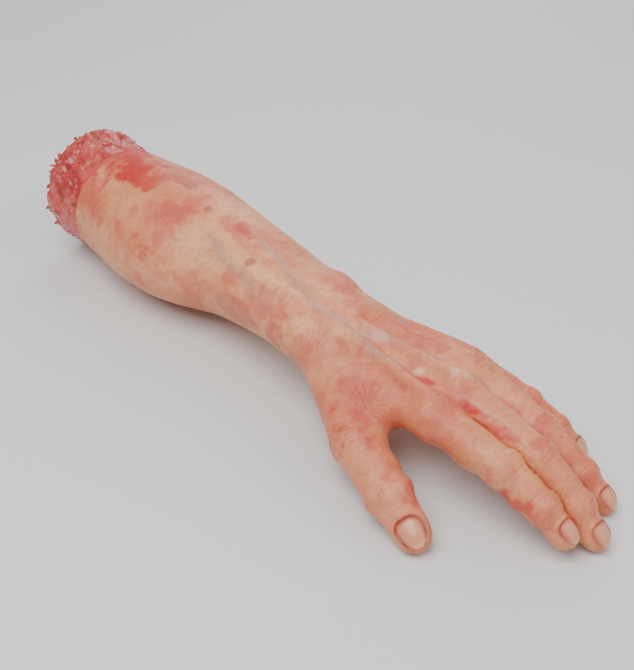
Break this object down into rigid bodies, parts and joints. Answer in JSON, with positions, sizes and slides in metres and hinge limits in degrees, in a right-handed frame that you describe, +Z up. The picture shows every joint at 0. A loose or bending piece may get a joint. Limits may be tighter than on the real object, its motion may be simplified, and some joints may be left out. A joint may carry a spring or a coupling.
{
  "type": "severed forearm and hand prop",
  "caption": "Life-size silicone film prop of a left forearm and hand, palm down, torn off below the elbow, with acrylic nails and a jointed metal armature inside.",
  "frame": {"origin": "bottom centre of the bounding box, on the surface the prop lies on", "axes": "+X from the torn end to the fingertips, +Z up through the back of the hand, thumb on -Y"},
  "size_m": [0.4342, 0.1274, 0.0817],
  "materials": {
    "skin": "satin",
    "flesh": "gloss",
    "nails": "satin",
    "bone": "matte",
    "core": "matte",
    "armature": "satin"
  },
  "bodies": {
    "forearm": {"forearm_skin": "skin", "armature_rod": "armature", "wrist_pin": "armature", "radius_bone": "bone", "ulna_bone": "bone", "foam_core": "core", "wound_flesh": "flesh", "wrist_skin": "skin"},
    "hand": {"palm_frame": "armature", "hand_skin": "skin", "index_knuckle_pin": "armature", "middle_knuckle_pin": "armature", "ring_knuckle_pin": "armature", "little_knuckle_pin": "armature", "thumb_knuckle_pin": "armature"},
    "index_proximal": {"index_proximal_link": "armature", "index_proximal_skin": "skin", "index_middle_pin": "armature"},
    "index_middle": {"index_middle_link": "armature", "index_middle_skin": "skin", "index_end_pin": "armature"},
    "index_tip": {"index_tip_link": "armature", "index_tip_skin": "skin", "index_nail": "nails"},
    "middle_proximal": {"middle_proximal_link": "armature", "middle_proximal_skin": "skin", "middle_middle_pin": "armature"},
    "middle_middle": {"middle_middle_link": "armature", "middle_middle_skin": "skin", "middle_end_pin": "armature"},
    "middle_tip": {"middle_tip_link": "armature", "middle_tip_skin": "skin", "middle_nail": "nails"},
    "ring_proximal": {"ring_proximal_link": "armature", "ring_proximal_skin": "skin", "ring_middle_pin": "armature"},
    "ring_middle": {"ring_middle_link": "armature", "ring_middle_skin": "skin", "ring_end_pin": "armature"},
    "ring_tip": {"ring_tip_link": "armature", "ring_tip_skin": "skin", "ring_nail": "nails"},
    "little_proximal": {"little_proximal_link": "armature", "little_proximal_skin": "skin", "little_middle_pin": "armature"},
    "little_middle": {"little_middle_link": "armature", "little_middle_skin": "skin", "little_end_pin": "armature"},
    "little_tip": {"little_tip_link": "armature", "little_tip_skin": "skin", "little_nail": "nails"},
    "thumb_proximal": {"thumb_proximal_link": "armature", "thumb_proximal_skin": "skin", "thumb_end_pin": "armature"},
    "thumb_tip": {"thumb_tip_link": "armature", "thumb_tip_skin": "skin", "thumb_nail": "nails"}
  },
  "joints": [
    {"name": "wrist", "type": "hinge", "parent": "forearm", "child": "hand", "pos_m": [0.0289, 0.00713, 0.041], "axis": [-0.0523, 0.9986, 0], "range_deg": [-20, 20], "deforming": ["wrist_skin"]},
    {"name": "index_knuckle", "type": "hinge", "parent": "hand", "child": "index_proximal", "pos_m": [0.12211, -0.01353, 0.044], "axis": [-0.0872, 0.9962, 0], "range_deg": [-10, 30]},
    {"name": "index_middle_joint", "type": "hinge", "parent": "index_proximal", "child": "index_middle", "pos_m": [0.16464, -0.0098, 0.03336], "axis": [-0.0872, 0.9962, 0], "range_deg": [-5, 45]},
    {"name": "index_end_joint", "type": "hinge", "parent": "index_middle", "child": "index_tip", "pos_m": [0.18721, -0.00783, 0.02279], "axis": [-0.0872, 0.9962, 0], "range_deg": [-5, 30]},
    {"name": "middle_knuckle", "type": "hinge", "parent": "hand", "child": "middle_proximal", "pos_m": [0.12198, 0.008, 0.046], "axis": [-0.0087, 1, 0], "range_deg": [-10, 30]},
    {"name": "middle_middle_joint", "type": "hinge", "parent": "middle_proximal", "child": "middle_middle", "pos_m": [0.1705, 0.00842, 0.0339], "axis": [-0.0087, 1, 0], "range_deg": [-5, 45]},
    {"name": "middle_end_joint", "type": "hinge", "parent": "middle_middle", "child": "middle_tip", "pos_m": [0.19621, 0.00864, 0.01845], "axis": [-0.0087, 1, 0], "range_deg": [-5, 30]},
    {"name": "ring_knuckle", "type": "hinge", "parent": "hand", "child": "ring_proximal", "pos_m": [0.11395, 0.0276, 0.044], "axis": [-0.0698, 0.9976, 0], "range_deg": [-10, 30]},
    {"name": "ring_middle_joint", "type": "hinge", "parent": "ring_proximal", "child": "ring_middle", "pos_m": [0.15759, 0.03066, 0.02978], "axis": [-0.0698, 0.9976, 0], "range_deg": [-5, 45]},
    {"name": "ring_end_joint", "type": "hinge", "parent": "ring_middle", "child": "ring_tip", "pos_m": [0.18313, 0.03244, 0.01617], "axis": [-0.0698, 0.9976, 0], "range_deg": [-5, 30]},
    {"name": "little_knuckle", "type": "hinge", "parent": "hand", "child": "little_proximal", "pos_m": [0.1021, 0.04351, 0.0345], "axis": [-0.225, 0.9744, 0], "range_deg": [-10, 30]},
    {"name": "little_middle_joint", "type": "hinge", "parent": "little_proximal", "child": "little_middle", "pos_m": [0.13453, 0.05099, 0.02368], "axis": [-0.225, 0.9744, 0], "range_deg": [-5, 45]},
    {"name": "little_end_joint", "type": "hinge", "parent": "little_middle", "child": "little_tip", "pos_m": [0.15174, 0.05497, 0.0143], "axis": [-0.225, 0.9744, 0], "range_deg": [-5, 30]},
    {"name": "thumb_knuckle", "type": "hinge", "parent": "hand", "child": "thumb_proximal", "pos_m": [0.0938, -0.03704, 0.023], "axis": [0.3749, 0.7844, 0.4941], "range_deg": [-10, 30]},
    {"name": "thumb_end_joint", "type": "hinge", "parent": "thumb_proximal", "child": "thumb_tip", "pos_m": [0.12712, -0.0495, 0.01749], "axis": [0.3749, 0.7844, 0.4941], "range_deg": [-5, 45]}
  ]
}
